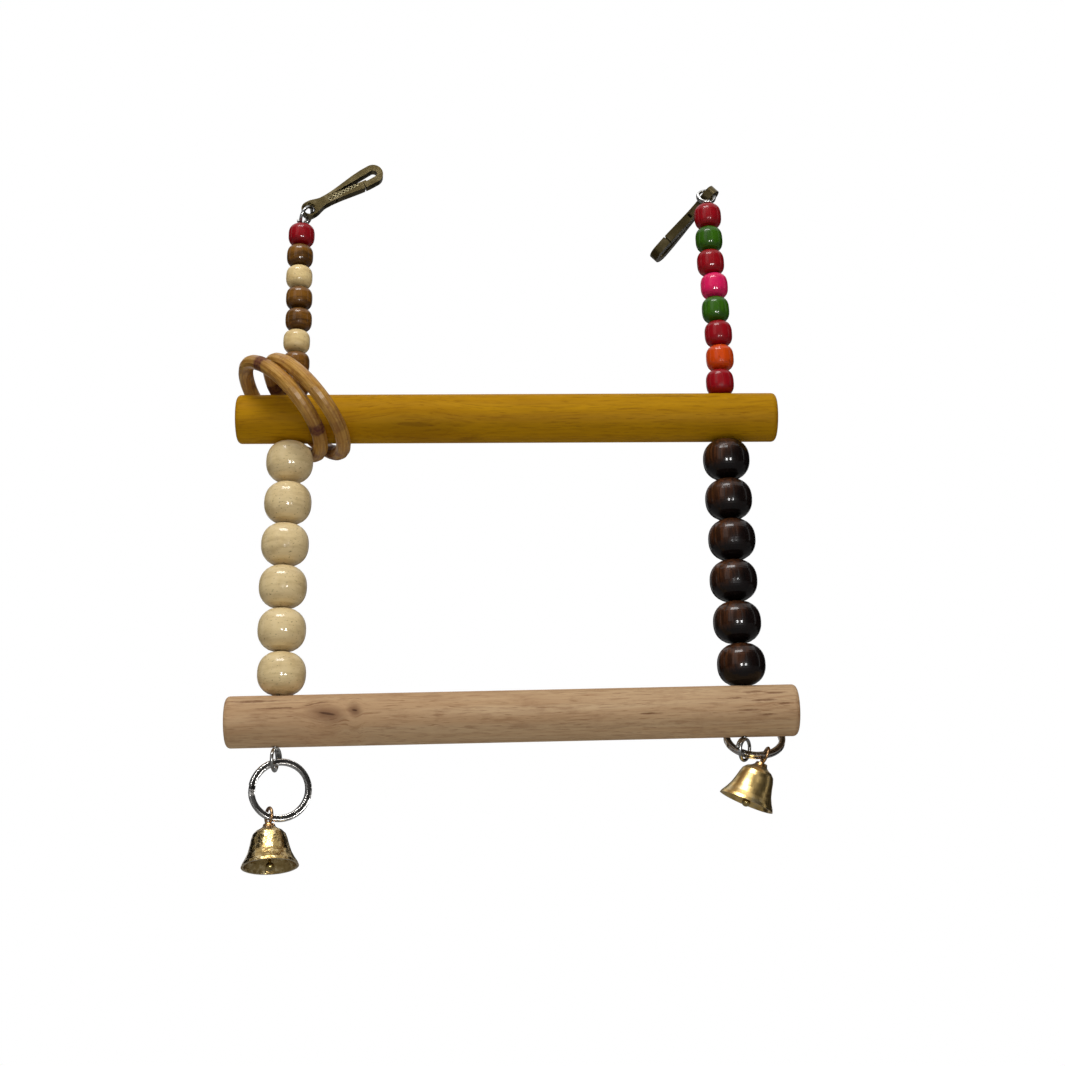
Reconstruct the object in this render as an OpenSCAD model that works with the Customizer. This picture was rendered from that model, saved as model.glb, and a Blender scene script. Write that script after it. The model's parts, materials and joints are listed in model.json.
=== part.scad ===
// Parrot toy: two wooden perches carried by two beaded wires, with a snap
// clip at the top of each wire, a bell on a split ring at the bottom of each,
// and two cane rings looped round the upper left joint.
// Millimetres, +Z up the wires, +X to the right, +Y away from the viewer.

/* [Perches] */
// Length of each perch
perch_l = 198; // [150:1:300]
// Diameter of each perch
perch_d = 18; // [12:0.5:25]
// Rounding of the perch ends
perch_round = 1.6; // [0.5:0.1:3]
// Distance from the left end of the upper perch to the left wire
inset_l = 20.6; // [12:0.1:40]
// Distance from the right end of the upper perch to the right wire
inset_r = 19.1; // [12:0.1:40]
// Play between a perch's hole and its wire
perch_slack = 0.5; // [0.3:0.05:1]
// Sideways slip of the lower perch on its wires
lower_slip = 0.7; // [-2:0.1:2]

/* [Beads] */
// Diameter of the small beads on the left wire
small_d_l = 9.9; // [8:0.1:14]
// Diameter of the small beads on the right wire
small_d_r = 10.3; // [8:0.1:14]
// Length of a small bead on the left wire
small_len_l = 8.75; // [6:0.01:12]
// Length of a small bead on the right wire
small_len_r = 9.8; // [6:0.01:12]
// Diameter of the large beads
large_d = 17; // [14:0.1:22]
// Length of a large bead on the left wire
large_len_l = 15.67; // [12:0.01:20]
// Length of a large bead on the right wire
large_len_r = 15.29; // [12:0.01:20]
// Play along the wire at each bead
bead_play = 0.2; // [0.05:0.01:0.3]
// Play between a small bead's hole and the wire
small_slack = 0.95; // [0.5:0.05:1.5]
// Play between a large bead's hole and the wire
large_slack = 1.2; // [0.5:0.05:2]

/* [Wires] */
// Diameter of the wire
wire_d = 1.2; // [0.8:0.05:2]
// Outward lean of the left wire below the upper perch, degrees
lean_low_l = 1.15; // [0:0.05:3]
// Outward lean of the right wire below the upper perch, degrees
lean_low_r = 0.7; // [0:0.05:3]
// Inward lean of the right wire above the upper perch, degrees
lean_up_r = 1.35; // [0:0.05:3]
// Mean radius of each wire eye
eye_r = 3.65; // [3:0.05:5]
// Mean radius of the top eye of the right wire
eye_r_r = 3.25; // [2.5:0.05:4]
// Space left between an eye and what it stands on
eye_rise = 0.3; // [0.1:0.05:2]

/* [Snap clips] */
// Length from the middle of the clip's eye to its tip
clip_l = 33; // [25:0.1:45]
// Thickness of the clip
clip_t = 3.4; // [2.5:0.1:5]
// Width across the hook
clip_w = 7.6; // [6:0.1:10]
// Radius of the slot inside the hook
hook_r = 1.4; // [1:0.05:2]
// Width of the neck
clip_neck = 3.6; // [3:0.1:5]
// Radius of the hole in the clip's eye
clip_eye_r = 1.9; // [1.5:0.05:2.2]
// Wall round the hole in the clip's eye
clip_eye_wall = 1.1; // [1:0.05:2]
// Diameter of the gate's pin
gate_pin_d = 1; // [0.8:0.05:1.5]

/* [Split rings] */
// Outer diameter of each split ring
ring_d = 21.6; // [16:0.1:30]
// Radial width of the ring wire
ring_w = 2.2; // [1.5:0.1:3]
// Thickness of one turn of the ring wire
ring_t = 0.98; // [0.6:0.02:1.5]

/* [Bells] */
// Diameter of the mouth of each bell
bell_d = 19.4; // [14:0.1:26]
// Height of the bell without its loop
bell_h = 14.6; // [12:0.1:24]
// Thickness of the bell's wall
bell_wall = 0.9; // [0.6:0.05:1.5]
// Wire diameter of the bell's loop
loop_wire = 1.1; // [0.8:0.05:1.5]
// Inner radius of the bell's loop
loop_in = 2.15; // [1.5:0.05:2.5]
// Diameter of the clapper's ball
ball_d = 3; // [2.5:0.1:5]

/* [Cane rings] */
// Outer diameter of each cane ring
cane_ring_d = 46.6; // [44:0.1:60]
// Diameter of the cane
cane_d = 5.6; // [4:0.1:6.5]

/* [Hidden] */
$fn = 40;
gap = 0.15;
small_count = 8;
large_count = 6;

cream = "#ead9b5";
brown = "#6b4430";
dark = "#24140f";
red = "#b3262b";
green = "#5d8a2c";
pink = "#c8406f";
orange = "#c9582b";
brass = "#b9963e";
steel = "#9a9ca0";

// Colours of the small beads, from the top bead down
colours_l = [red, brown, cream, brown, brown, cream, brown, brown];
colours_r = [red, green, red, pink, green, red, orange, red];
// How far each bead sits off its wire sideways, from the top bead down
shift_small_l = [0.3, 0, 0, 0.25, 0.35, -0.1, 0, 0.1];
shift_small_r = [0, -0.2, -0.3, 0.4, 0.2, 0.55, 0.4, -0.3];
shift_large_l = [-0.7, -0.5, -0.65, -0.5, 0, 0.8];
shift_large_r = [0, -0.1, 0.1, -0.3, 0, 0.5];

wire_r = wire_d / 2;
perch_r = perch_d / 2;
ring_r = (ring_d - ring_w) / 2;
cane_r = (cane_ring_d - cane_d) / 2;

function wire_x(side) = side < 0 ? inset_l - perch_l / 2 : perch_l / 2 - inset_r;
function lean_at(side, z) = z < 0 ? (side < 0 ? lean_low_l : -lean_low_r) : (side < 0 ? 0 : -lean_up_r);
function small_len(side) = side < 0 ? small_len_l : small_len_r;
function large_len(side) = side < 0 ? large_len_l : large_len_r;
function small_pitch(side) = small_len(side) + bead_play;
function large_pitch(side) = large_len(side) + bead_play;
function stack_top(side) = perch_r + small_count * small_pitch(side);
function drop(side) = perch_d + large_count * large_pitch(side);

function rot_x(v, a) = [v[0], v[1] * cos(a) - v[2] * sin(a), v[1] * sin(a) + v[2] * cos(a)];
function rot_y(v, a) = [v[0] * cos(a) + v[2] * sin(a), v[1], v[2] * cos(a) - v[0] * sin(a)];
function rot_z(v, a) = [v[0] * cos(a) - v[1] * sin(a), v[0] * sin(a) + v[1] * cos(a), v[2]];
function turned(v, a) = rot_z(rot_y(rot_x(v, a[0]), a[1]), a[2]);

// Point at distance z up a wire, which bends where it leaves the upper perch
function on_wire(side, z) = [wire_x(side), 0, 0] + rot_y([0, 0, z], lean_at(side, z));
perch_tilt = atan((drop(-1) - drop(1)) / (wire_x(1) - wire_x(-1)));

// Each eye: [lean about X, bend about Y, turn about its own stem], degrees.
// In an eye's frame X leads away from the stem and Z is square to the loop.
eye_top_l = [0, 30, 80];
eye_top_r = [-12, 0, 180];
eye_low_l = [0, 0, -98];
eye_low_r = [22, 0, 55];
function eye_axes(v, a) = turned(rot_z(rot_y(rot_x(v, -90), -90), a[2]), [a[0], a[1], 0]);
function eye_top(side) = side < 0 ? eye_top_l : eye_top_r;
function eye_low(side) = side < 0 ? eye_low_l : eye_low_r;
function top_eye_r(side) = side < 0 ? eye_r : eye_r_r;
function top_root(side) = on_wire(side, stack_top(side) + eye_rise + wire_r);
function low_root(side) = on_wire(side, -drop(side) - perch_r - eye_rise - wire_r);
function top_eye_mid(side) =
    top_root(side) + top_eye_r(side) * eye_axes([1, 0, 0], eye_top(side));
function low_eye_mid(side) = low_root(side) + turned([0, 0, -eye_r], [eye_low(side)[0], 0, 0]);

// Where each clip's hole meets the wire of its eye, and how the clip lies.
// A clip's frame has X along it, Y through its thickness, Z to the spine.
clip_at_l = 0;
clip_at_r = 315;
clip_off_l = [-0.75, 0, -0.8];
clip_off_r = [-0.49, 0.66, -0.47];
clip_lie_l = [1.48, -34.2, 4.26];
clip_lie_r = [69.32, 38.27, 146.21];
function on_eye(side, at) = top_eye_mid(side)
    + top_eye_r(side) * eye_axes([cos(at), sin(at), 0], eye_top(side));
clip_pos_l = on_eye(-1, clip_at_l) + clip_off_l;
clip_pos_r = on_eye(1, clip_at_r) + clip_off_r;
hook_rad = clip_w / 2;
hook_x = clip_l - hook_rad;
hook_pos_l = clip_pos_l + turned([hook_x, 0, 0], clip_lie_l);
hook_pos_r = clip_pos_r + turned([hook_x, 0, 0], clip_lie_r);

// Split rings: frame angles, and the angle round the ring where the wire eye
// and the bell's loop sit. A ring's frame has Z square to the ring.
ring_seat = 1;
bell_seat = 0.3;
ring_lie_l = [-90, 0, 0];
ring_lie_r = [-130, 0, 0];
ring_eye_l = -103.7;
ring_eye_r = 115;
ring_bell_l = 111;
ring_bell_r = 75;
function ring_dir(at, lie) = turned([cos(at), sin(at), 0], lie);
ring_pin_l = low_eye_mid(-1) + [0, 0, -ring_seat];
ring_pin_r = low_eye_mid(1) + [0.35, 0.35, -ring_seat - 0.4];
ring_mid_l = ring_pin_l - ring_r * ring_dir(ring_eye_l, ring_lie_l);
ring_mid_r = ring_pin_r - ring_r * ring_dir(ring_eye_r, ring_lie_r);
bell_pos_l = ring_mid_l + ring_r * ring_dir(ring_bell_l, ring_lie_l) + [0, 0, bell_seat];
bell_pos_r = ring_mid_r + ring_r * ring_dir(ring_bell_r, ring_lie_r) - [0, 0, bell_seat / 2];
bell_lie_l = [-9, 0, 29];
bell_lie_r = [10, 23, 10];

// Cane rings: frame angles of each, middle of the first, step from it to the second
cane_lie = [9.03, 46.23, 26.27];
cane_lie_2 = [12.09, 46.76, 27.18];
cane_mid = on_wire(-1, 0) + [-3.91, -2.43, 3.03];
cane_slip = [4.86, -4.26];
cane_step = cane_d + 0.53;

// The whole toy is placed so that the left hook is at the origin
module hung() {
    translate(-hook_pos_l) children();
}

// Puts its children on a wire: below the upper perch for way -1, above it for way 1
module on_strand(side, way) {
    translate([wire_x(side), 0, 0]) rotate([0, lean_at(side, way), 0]) children();
}

// perches
module perch_bar() {
    rotate([0, 90, 0]) rotate_extrude() polygon(concat(
        [[0, -perch_l / 2]],
        [for (a = [0 : 18 : 90]) [perch_r - perch_round + perch_round * sin(a),
                                  -perch_l / 2 + perch_round - perch_round * cos(a)]],
        [for (a = [90 : -18 : 0]) [perch_r - perch_round + perch_round * sin(a),
                                   perch_l / 2 - perch_round + perch_round * cos(a)]],
        [[0, perch_l / 2]]));
}

// Straight hole through a perch at height z, along the wire's mean lean there
module wire_hole(side, z) {
    lean = (lean_at(side, z + 1) + lean_at(side, z - 1)) / 2;
    translate(on_wire(side, z)) rotate([0, lean, 0])
        cylinder(r = wire_r + perch_slack, h = 2 * perch_d, center = true);
}

module upper_perch() {
    color("#c99a2e") hung() difference() {
        perch_bar();
        wire_hole(-1, 0);
        wire_hole(1, 0);
    }
}

module lower_perch() {
    color("#d9bd95") hung() difference() {
        translate((on_wire(-1, -drop(-1)) + on_wire(1, -drop(1))) / 2 + [lower_slip, 0, 0])
            rotate([0, -perch_tilt, 0]) perch_bar();
        wire_hole(-1, -drop(-1));
        wire_hole(1, -drop(1));
    }
}

// beads
// A turned bead: its outline is a rounded barrel, blunter as k rises
module bead(d, len, k, slack) {
    bore = wire_r + slack;
    top = [for (i = [0 : 9]) let (t = i / 9 * 0.97)
        [d / 2 * pow(1 - pow(t, k), 1 / k), t * len / 2]];
    end = [[bore + 0.3, len / 2], [bore, len / 2 - 0.3]];
    rotate_extrude() polygon(concat(
        top, end,
        [for (i = [1 : -1 : 0]) [end[i][0], -end[i][1]]],
        [for (i = [9 : -1 : 1]) [top[i][0], -top[i][1]]]));
}

module small_bead(side, i) {
    p = small_pitch(side);
    shift = (side < 0 ? shift_small_l : shift_small_r)[i];
    color((side < 0 ? colours_l : colours_r)[i]) hung() on_strand(side, 1)
        translate([shift, 0, stack_top(side) - (i + 0.5) * p])
        bead(side < 0 ? small_d_l : small_d_r, small_len(side), 3, small_slack);
}

module large_bead(side, i) {
    p = large_pitch(side);
    shift = (side < 0 ? shift_large_l : shift_large_r)[i];
    color(side < 0 ? cream : dark) hung() on_strand(side, -1)
        translate([shift, 0, -perch_r - (i + 0.5) * p])
        bead(large_d, large_len(side), 2.35, large_slack);
}

// wires
// Eye loop: X leads from the stem across the loop, and the wire's end laps its start
module eye_loop(r, lap) {
    rotate_extrude() translate([r, 0]) circle(wire_r);
    translate([0, 0, wire_d - 0.08]) rotate([0, 0, 180 - lap])
        rotate_extrude(angle = lap + 20) translate([r, 0]) circle(wire_r);
}

module eye_at(mid, a) {
    translate(mid) rotate([a[0], a[1], 0]) rotate([0, 0, a[2]]) rotate([-90, -90, 0]) children();
}

module strand_wire(side) {
    top = norm(top_root(side) - on_wire(side, 0));
    low = norm(low_root(side) - on_wire(side, 0));
    color(steel) hung() union() {
        on_strand(side, 1) translate([0, 0, wire_r / 4]) cylinder(r = wire_r, h = top);
        translate(on_wire(side, 0)) sphere(wire_r * 1.1);
        on_strand(side, -1) translate([0, 0, -low - wire_r / 4]) cylinder(r = wire_r, h = low);
        eye_at(top_eye_mid(side), eye_top(side)) eye_loop(top_eye_r(side), 100);
        eye_at(low_eye_mid(side), eye_low(side)) rotate([0, 0, 180]) eye_loop(eye_r, 70);
    }
}

// snap clips
// Half width of the clip's outline: a fishtail eye, a slim neck, a broad hook
function blend(x, a, b) = let (t = min(1, max(0, (x - a) / (b - a)))) t * t * (3 - 2 * t);
clip_eye_out = clip_eye_r + clip_eye_wall;
neck_x = 6.5;
function clip_half(x) = clip_eye_out - (clip_eye_out - clip_neck / 2) * blend(x, 1, neck_x)
    + (hook_rad - clip_neck / 2) * blend(x, neck_x + 1, hook_x - 2);
gate_x = neck_x + 3.4;
gate_y = -0.55;
nose_x = hook_x - 5.4;
gate_root_r = 1.5;
cheek = 0.8;
eye_lip = 0.6;
tab = 0.55;

module clip_outline() {
    circle(clip_eye_out);
    polygon(concat(
        [for (x = [0 : 0.8 : hook_x]) [x, clip_half(x)]],
        [[hook_x, hook_rad], [hook_x, -hook_rad]],
        [for (x = [floor(hook_x / 0.8) * 0.8 : -0.8 : 0]) [x, -clip_half(x)]]));
    translate([hook_x, 0]) circle(hook_rad);
}

module slot_outline() {
    translate([hook_x, 0]) circle(hook_r);
    polygon([[gate_x + 2, 0.8], [hook_x, hook_r], [hook_x, -hook_r], [gate_x + 2, -hook_r]]);
}

// Room for the gate: all below its upper edge, back to its round root
module gate_bay() {
    translate([gate_x, gate_y]) circle(gate_root_r + gap);
    polygon([[gate_x - 1, -clip_w], [gate_x, 1.1], [nose_x, 0.5], [nose_x, -clip_w]]);
}

module gate_outline() {
    intersection() {
        clip_outline();
        union() {
            translate([gate_x, gate_y]) circle(gate_root_r);
            polygon([[gate_x, -clip_w], [gate_x, gate_y + gate_root_r],
                     [nose_x + 1.4, tab - hook_r], [nose_x + 1.4, gap / 2 - hook_r],
                     [nose_x - gap, gap / 2 - hook_r], [nose_x - 1.2, -clip_w]]);
        }
    }
}

module plate(t) {
    rotate([90, 0, 0]) translate([0, 0, -t / 2]) linear_extrude(t) children();
}

module pin_hole(r) {
    translate([gate_x, 0, gate_y]) rotate([90, 0, 0]) cylinder(r = r, h = 2 * clip_t, center = true);
}

module clip_body_shape() {
    difference() {
        union() {
            plate(clip_t) difference() {
                clip_outline();
                slot_outline();
                gate_bay();
            }
            plate(clip_t - 2 * cheek - 2 * gap) intersection() {
                clip_outline();
                union() {
                    translate([gate_x, gate_y]) circle(gate_root_r);
                    translate([gate_x - 2.5, gate_y - gate_root_r]) square([2.5, 2 * gate_root_r]);
                }
            }
        }
        rotate([90, 0, 0]) cylinder(r = clip_eye_r, h = 2 * clip_t, center = true);
        for (a = [-90, 90]) rotate([a, 0, 0]) translate([0, 0, clip_t / 2 - eye_lip])
            cylinder(r1 = clip_eye_r, r2 = clip_eye_r + 2 * eye_lip, h = 2 * eye_lip);
        pin_hole(gate_pin_d / 2);
    }
}

module clip_gate_shape() {
    difference() {
        plate(clip_t) gate_outline();
        plate(clip_t - 2 * cheek) translate([gate_x - clip_w, -clip_w])
            square([clip_w + gate_root_r + 2 * gap, 2 * clip_w]);
        pin_hole(gate_pin_d / 2 + 0.05);
    }
}

module clip_place(side) {
    hung() translate(side < 0 ? clip_pos_l : clip_pos_r)
        rotate(side < 0 ? clip_lie_l : clip_lie_r) children();
}

module clip_body(side) {
    color(brass) clip_place(side) clip_body_shape();
}

module clip_gate(side) {
    color("#a5843a") clip_place(side) clip_gate_shape();
}

module gate_pin(side) {
    color("#8f7431") clip_place(side) translate([gate_x, 0, gate_y]) rotate([90, 0, 0])
        cylinder(r = gate_pin_d / 2, h = clip_t, center = true);
}

// split rings
// Flat coil of nearly two turns: it lies in one plane, then steps up to the next
ring_pitch = ring_t + 0.04;
step_from = 330;
function ring_lift(a) = ring_pitch * (blend(a, step_from, 360) - 0.5);
ring_section = [for (c = [[1, 1], [-1, 1], [-1, -1], [1, -1]], k = [0, 1])
    let (x = ring_w / 2, z = ring_t / 2, b = 0.22, f = (c[0] * c[1] > 0 ? k : 1 - k))
    [c[0] * (x - (f ? b * 1.6 : 0)), c[1] * (z - (f ? 0 : b))]];

module split_ring_shape() {
    step = 7.5;
    n = round((step_from + 352) / step);
    m = len(ring_section);
    pts = [for (i = [0 : n], p = ring_section) let (a = i * step)
        [(ring_r + p[0]) * cos(a), (ring_r + p[0]) * sin(a), p[1] + ring_lift(a)]];
    polyhedron(pts, concat(
        [[for (j = [m - 1 : -1 : 0]) j]],
        [for (i = [0 : n - 1], j = [0 : m - 1]) let (k = (j + 1) % m)
            [i * m + j, i * m + k, (i + 1) * m + k, (i + 1) * m + j]],
        [[for (j = [0 : m - 1]) n * m + j]]), convexity = 8);
}

module split_ring(side) {
    color(steel) hung() translate(side < 0 ? ring_mid_l : ring_mid_r)
        rotate(side < 0 ? ring_lie_l : ring_lie_r) rotate([0, 0, side < 0 ? 190 : 250])
        split_ring_shape();
}

// bells
crown_z = -loop_in - 0.85;
// Outline down the bell: [share of the height, share of the mouth's radius]
bell_curve = [[0, 0.2], [0.07, 0.24], [0.12, 0.33], [0.17, 0.47], [0.25, 0.58],
              [0.36, 0.635], [0.52, 0.69], [0.68, 0.76], [0.82, 0.86], [0.93, 0.96], [1, 1]];
roof_z = crown_z - bell_curve[3][0] * bell_h - bell_wall;

module bell_shape() {
    outer = [for (p = bell_curve) [p[1] * bell_d / 2, crown_z - p[0] * bell_h]];
    inner = [for (i = [len(bell_curve) - 1 : -1 : 4]) let (p = bell_curve[i])
        [p[1] * bell_d / 2 - bell_wall, crown_z - p[0] * bell_h]];
    rotate_extrude() polygon(concat([[0, crown_z]], outer, inner,
        [[bell_curve[3][1] * bell_d / 2 - bell_wall, roof_z], [0, roof_z]]));
}

module bell_place(side) {
    hung() translate(side < 0 ? bell_pos_l : bell_pos_r)
        rotate(side < 0 ? bell_lie_l : bell_lie_r) children();
}

// The loop's wire ends in a small ring under the roof, where the clapper hangs
hang_r = 1.2;
hang_wire_r = loop_wire / 2 - 0.15;
hang_z = roof_z - hang_r - hang_wire_r - 0.1;

module loop_ring(r) {
    rotate([0, 90, 0]) rotate_extrude() translate([loop_in + loop_wire / 2, 0]) circle(r);
}

module bell(side) {
    color(brass) bell_place(side) difference() {
        bell_shape();
        loop_ring(loop_wire / 2 + 0.03);
        translate([0, 0, crown_z - bell_h / 2]) cylinder(r = loop_wire / 2 + 0.03, h = bell_h + 1);
    }
}

module bell_loop(side) {
    color("#a9793c") bell_place(side) union() {
        loop_ring(loop_wire / 2);
        translate([0, 0, hang_z + 1]) cylinder(r = loop_wire / 2, h = -hang_z - loop_in - 1.2);
        translate([0, 0, hang_z]) rotate([90, 0, 0]) rotate_extrude() translate([hang_r, 0])
            circle(hang_wire_r);
    }
}

module clapper(side) {
    reach = crown_z - bell_h;
    color("#8f7a45") bell_place(side) union() {
        translate([0, 0, hang_z - 1.2]) rotate([0, 90, 0]) rotate_extrude()
            translate([1.15, 0]) circle(0.4);
        translate([0, 0, reach]) cylinder(r = 0.55, h = hang_z - 2.3 - reach);
        translate([0, 0, reach]) sphere(ball_d / 2);
    }
}

// cane rings
// Closed hoop of cane, swollen at its nodes and a little uneven
module cane_hoop(nodes) {
    n = 56;
    m = 12;
    function swell(a) = 1 + 0.012 * sin(3 * a + 40) - 0.03
        + 0.03 * max([for (d = nodes) exp(-pow((((a - d + 540) % 360) - 180) / 5, 2))]);
    pts = [for (i = [0 : n - 1], j = [0 : m - 1])
        let (a = 360 * i / n, b = 360 * j / m, r = cane_d / 2 * swell(a))
        [(cane_r + r * cos(b)) * cos(a), (cane_r + r * cos(b)) * sin(a), r * sin(b)]];
    polyhedron(pts, [for (i = [0 : n - 1], j = [0 : m - 1])
        let (u = (i + 1) % n, v = (j + 1) % m)
        [i * m + j, i * m + v, u * m + v, u * m + j]], convexity = 6);
}

module cane_ring(k) {
    color(k == 0 ? "#c9a062" : "#c2965a") hung()
        translate(cane_mid + k * turned([cane_slip[0], cane_slip[1], cane_step], cane_lie))
        rotate(k == 0 ? cane_lie : cane_lie_2)
        cane_hoop(k == 0 ? [60, 212, 315] : [20, 135, 307]);
}

upper_perch();
lower_perch();
strand_wire(-1);  // left_wire
strand_wire(1);  // right_wire
small_bead(-1, 0);  // left_small_bead_1
small_bead(-1, 1);  // left_small_bead_2
small_bead(-1, 2);  // left_small_bead_3
small_bead(-1, 3);  // left_small_bead_4
small_bead(-1, 4);  // left_small_bead_5
small_bead(-1, 5);  // left_small_bead_6
small_bead(-1, 6);  // left_small_bead_7
small_bead(-1, 7);  // left_small_bead_8
large_bead(-1, 0);  // left_large_bead_1
large_bead(-1, 1);  // left_large_bead_2
large_bead(-1, 2);  // left_large_bead_3
large_bead(-1, 3);  // left_large_bead_4
large_bead(-1, 4);  // left_large_bead_5
large_bead(-1, 5);  // left_large_bead_6
small_bead(1, 0);  // right_small_bead_1
small_bead(1, 1);  // right_small_bead_2
small_bead(1, 2);  // right_small_bead_3
small_bead(1, 3);  // right_small_bead_4
small_bead(1, 4);  // right_small_bead_5
small_bead(1, 5);  // right_small_bead_6
small_bead(1, 6);  // right_small_bead_7
small_bead(1, 7);  // right_small_bead_8
large_bead(1, 0);  // right_large_bead_1
large_bead(1, 1);  // right_large_bead_2
large_bead(1, 2);  // right_large_bead_3
large_bead(1, 3);  // right_large_bead_4
large_bead(1, 4);  // right_large_bead_5
large_bead(1, 5);  // right_large_bead_6
cane_ring(0);  // cane_ring_1
cane_ring(1);  // cane_ring_2
clip_body(-1);  // left_clip_body
clip_gate(-1);  // left_clip_gate
gate_pin(-1);  // left_gate_pin
clip_body(1);  // right_clip_body
clip_gate(1);  // right_clip_gate
gate_pin(1);  // right_gate_pin
split_ring(-1);  // left_split_ring
bell(-1);  // left_bell
bell_loop(-1);  // left_bell_loop
clapper(-1);  // left_clapper
split_ring(1);  // right_split_ring
bell(1);  // right_bell
bell_loop(1);  // right_bell_loop
clapper(1);  // right_clapper
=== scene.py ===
import json
import math
from functools import reduce

import bpy
import numpy as np
from mathutils import Matrix, Vector


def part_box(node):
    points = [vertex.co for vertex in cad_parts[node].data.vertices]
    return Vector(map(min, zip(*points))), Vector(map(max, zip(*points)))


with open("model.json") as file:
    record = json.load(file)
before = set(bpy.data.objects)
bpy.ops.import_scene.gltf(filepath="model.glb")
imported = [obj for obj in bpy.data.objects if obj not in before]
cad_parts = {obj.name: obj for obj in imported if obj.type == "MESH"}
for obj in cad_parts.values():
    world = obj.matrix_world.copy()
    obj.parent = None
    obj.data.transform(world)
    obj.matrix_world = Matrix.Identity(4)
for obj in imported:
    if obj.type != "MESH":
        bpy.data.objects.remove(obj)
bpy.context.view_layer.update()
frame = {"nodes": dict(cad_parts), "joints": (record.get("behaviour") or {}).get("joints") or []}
scene = bpy.context.scene
nodes = frame["nodes"]
pivots = {joint["name"]: Vector(joint["pos_m"]) for joint in frame["joints"]}
hinges = {joint["name"]: Vector(joint["axis"]) for joint in frame["joints"]}
print("frame loaded:", len(nodes), "nodes")

axisX, axisY, axisZ = (1, 0, 0), (0, 1, 0), (0, 0, 1)


class Sock:
    # A node's output that takes part in Python expressions
    def __init__(self, shader, out):
        self.shader = shader
        self.out = out

    def maths(self, op, *values):
        return self.shader.node("ShaderNodeMath", {"operation": op}, values)

    def __add__(self, other):
        return self.maths("ADD", self, other)

    def __radd__(self, other):
        return self.maths("ADD", other, self)

    def __sub__(self, other):
        return self.maths("SUBTRACT", self, other)

    def __rsub__(self, other):
        return self.maths("SUBTRACT", other, self)

    def __mul__(self, other):
        return self.maths("MULTIPLY", self, other)

    def __rmul__(self, other):
        return self.maths("MULTIPLY", other, self)

    def __truediv__(self, other):
        return self.maths("DIVIDE", self, other)

    def __rtruediv__(self, other):
        return self.maths("DIVIDE", other, self)

    def __pow__(self, power):
        return self.maths("POWER", self, power)

    def __abs__(self):
        return self.maths("ABSOLUTE", self)

    def root(self):
        return self.maths("SQRT", self)

    def sine(self):
        return self.maths("SINE", self)

    def top(self, other):
        return self.maths("MAXIMUM", self, other)

    def step(self, low, high):
        # 0 below low, 1 above high, smooth between; falls instead when low > high
        ends = (low, high, 0, 1) if low < high else (high, low, 1, 0)
        return self.shader.node("ShaderNodeMapRange", {"interpolation_type": "SMOOTHSTEP"}, [self, *ends])


class Shader:
    # The node tree of one material, or of the world
    def __init__(self, owner):
        self.owner = bpy.data.materials.new(owner) if isinstance(owner, str) else owner
        self.owner.use_nodes = True
        self.tree = self.owner.node_tree
        self.tree.nodes.clear()

    def node(self, kind, settings=None, inputs=(), out=0):
        made = self.tree.nodes.new(kind)
        for key, value in (settings or {}).items():
            setattr(made, key, value)
        sockets = inputs.items() if isinstance(inputs, dict) else enumerate(inputs)
        for key, value in sockets:
            if isinstance(value, Sock):
                self.tree.links.new(value.out, made.inputs[key])
            else:
                made.inputs[key].default_value = value
        return Sock(self, made.outputs[out]) if made.outputs else made

    def place(self, origin, axes):
        # Position from origin along each of the axes, in metres, one socket for each
        point = self.node("ShaderNodeTexCoord", out="Object")
        off = self.node("ShaderNodeVectorMath", {"operation": "SUBTRACT"}, [point, tuple(origin)])
        dot = {"operation": "DOT_PRODUCT"}
        return [self.node("ShaderNodeVectorMath", dot, [off, tuple(axis)], out="Value") for axis in axes]

    def vector(self, x, y, z):
        return self.node("ShaderNodeCombineXYZ", inputs=[x, y, z])

    def noise(self, vector, scale=1.0, detail=3.0, rough=0.55):
        inputs = {"Vector": vector, "Scale": scale, "Detail": detail, "Roughness": rough}
        return self.node("ShaderNodeTexNoise", inputs=inputs)

    def grain(self, spot, look, bend=None, seed=None):
        # Stretched noise. look is cells a metre along x, y and z, then detail and roughness; bend is one of
        # the axes and what is added along it, and seed moves the whole pattern.
        *scales, detail, rough = look
        spot = [along * scale for along, scale in zip(spot, scales)]
        if bend:
            axis, amount = bend
            spot[axis] = spot[axis] + amount
        if seed is not None:
            spot[0] = spot[0] + seed
        return self.noise(self.vector(*spot), detail=detail, rough=rough)

    def mix(self, factor, a, b):
        # Of a Mix node's sockets, 6 and 7 are the colours that go in and 2 the colour that comes out
        a, b = (colour if isinstance(colour, Sock) else (*colour, 1) for colour in (a, b))
        return self.node("ShaderNodeMix", {"data_type": "RGBA"}, {0: factor, 6: a, 7: b}, out=2)

    def bump(self, height, depth):
        # depth is what a height of 1 stands for, in metres
        return self.node("ShaderNodeBump", inputs={"Strength": 1.0, "Distance": depth, "Height": height})

    def surface(self, **inputs):
        shader = self.node("ShaderNodeBsdfPrincipled", inputs=inputs)
        self.node("ShaderNodeOutputMaterial", inputs=[shader])
        return self.owner


def dress(mat, *names):
    for name in names:
        nodes[name].data.materials.clear()
        nodes[name].data.materials.append(mat)


def awayFrom(*parts):
    # Distance from a mark's middle; each part is an offset and the half size that counts as 1
    return reduce(Sock.__add__, [(offset / size) ** 2 for offset, size in parts]).root()


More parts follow.
